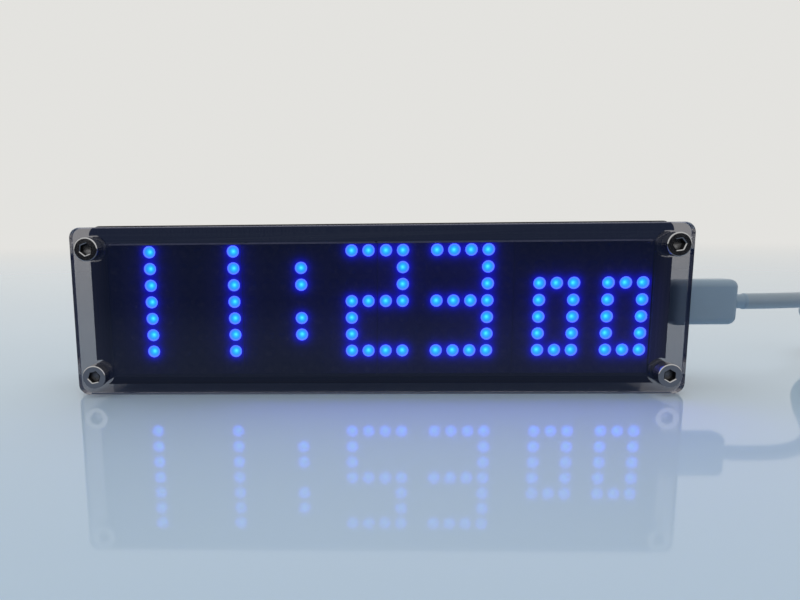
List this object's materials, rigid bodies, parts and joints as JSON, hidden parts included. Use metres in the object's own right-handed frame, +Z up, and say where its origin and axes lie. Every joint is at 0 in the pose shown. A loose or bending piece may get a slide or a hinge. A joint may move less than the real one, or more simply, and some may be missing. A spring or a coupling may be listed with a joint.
{
  "type": "dot matrix clock",
  "caption": "Desk clock with a row of square blue LED dot modules in a black housing between smoked panels, set by rear push buttons and powered through a plug-in side cable.",
  "frame": {"origin": "on the table, under the middle of the clock's box", "axes": "+X to the right along the display as the viewer sees it, +Y away from the viewer, +Z up"},
  "size_m": [0.2674, 0.0625, 0.0403],
  "materials": {
    "smoked_acrylic": "clear smoked acrylic, polished faces and sawn edges",
    "screw_steel": "nickel-plated steel",
    "standoff_nickel": "nickel-plated brass",
    "black_plastic": "satin moulded plastic",
    "module_black": "black printed face on a grey body",
    "dot_lit": "clear epoxy over a lit blue diode",
    "dot_unlit": "dark epoxy",
    "solder_tin": "tinned",
    "board_mask": "solder mask over glass fibre",
    "chip_black": "moulded epoxy",
    "can_metal": "drawn can",
    "cell_steel": "polished steel",
    "chip_ceramic": "glazed ceramic",
    "shell_steel": "drawn nickel-plated steel",
    "button_plastic": "smooth moulded plastic",
    "grip_grey": "smooth soft moulded plastic",
    "cable_jacket": "satin soft jacket",
    "tie_fabric": "woven hook and loop strap",
    "insert_white": "moulded plastic"
  },
  "bodies": {
    "clock": {"front_panel": "smoked_acrylic", "rear_panel": "smoked_acrylic", "front_screws": "screw_steel", "rear_screws": "screw_steel", "standoffs": "standoff_nickel", "housing": "black_plastic", "led_matrix_1": "module_black", "led_matrix_2": "module_black", "led_matrix_3": "module_black", "led_matrix_4": "module_black", "lit_dots": "dot_lit", "unlit_dots": "dot_unlit", "matrix_pins": "solder_tin", "circuit_board": "board_mask", "driver_chips": "chip_black", "microcontroller": "chip_black", "clock_chip": "chip_black", "crystal": "can_metal", "cell_holder": "black_plastic", "coin_cell": "cell_steel", "buzzer": "chip_black", "capacitors": "can_metal", "chip_resistors": "chip_ceramic", "regulator": "chip_black", "usb_receptacle": "shell_steel", "receptacle_tongue": "black_plastic", "switch_bases": "black_plastic"},
    "set_button": {"button_set": "button_plastic"},
    "up_button": {"button_up": "button_plastic"},
    "down_button": {"button_down": "button_plastic"},
    "power_cable": {"usb_c_shell": "shell_steel", "usb_c_grip": "grip_grey", "cable_neck": "cable_jacket", "cable_lead": "cable_jacket", "cable_coil": "cable_jacket", "cable_tail": "cable_jacket", "cable_tie": "tie_fabric", "usb_a_sleeve": "grip_grey", "usb_a_grip": "grip_grey", "usb_a_shell": "shell_steel", "usb_a_insert": "insert_white"}
  },
  "joints": [
    {"name": "set_button_press", "type": "slide", "parent": "clock", "child": "set_button", "axis": [0, -1, 0], "range_m": [0, 0.00025], "stiffness_N_per_m": 4000},
    {"name": "up_button_press", "type": "slide", "parent": "clock", "child": "up_button", "axis": [0, -1, 0], "range_m": [0, 0.00025], "stiffness_N_per_m": 4000},
    {"name": "down_button_press", "type": "slide", "parent": "clock", "child": "down_button", "axis": [0, -1, 0], "range_m": [0, 0.00025], "stiffness_N_per_m": 4000},
    {"name": "plug_pull", "type": "slide", "parent": "clock", "child": "power_cable", "axis": [1, 0, 0], "range_m": [0, 0.012]}
  ]
}
